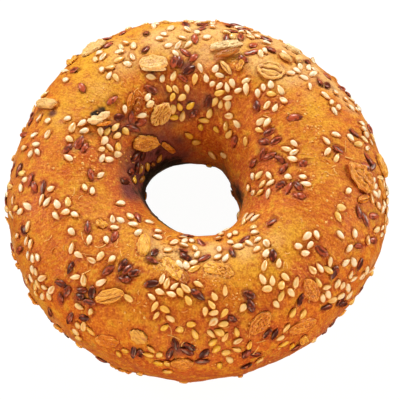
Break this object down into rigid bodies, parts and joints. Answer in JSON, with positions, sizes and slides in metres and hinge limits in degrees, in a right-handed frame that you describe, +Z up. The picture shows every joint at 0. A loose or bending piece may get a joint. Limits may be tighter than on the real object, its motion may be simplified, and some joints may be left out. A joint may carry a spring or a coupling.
{
  "type": "bagel",
  "caption": "Round baked bread ring with a bulging golden crust, a hole through the middle and a flat underside, topped all over with seeds and rolled flakes.",
  "frame": {"origin": "middle of the ring's outline, on the surface that it rests on", "axes": "+Z up through the hole, out of the seeded top; +X and +Y lie in the plane of the ring, and -Y is the side towards the viewer"},
  "size_m": [0.107, 0.1082, 0.0388],
  "materials": {
    "crust": "baked bread crust, golden orange to red brown, satin, finely pimpled",
    "sesame": "hulled sesame seed, cream to toasted gold, satin",
    "linseed": "whole linseed, dark to red brown, glossy",
    "oat_flake": "rolled oat and wheat flake, straw to toasted brown, matte, wrinkled",
    "bran": "bran slivers and crumbs, pale straw, matte"
  },
  "bodies": {
    "root": {"bagel_ring": "crust"}
  },
  "joints": []
}
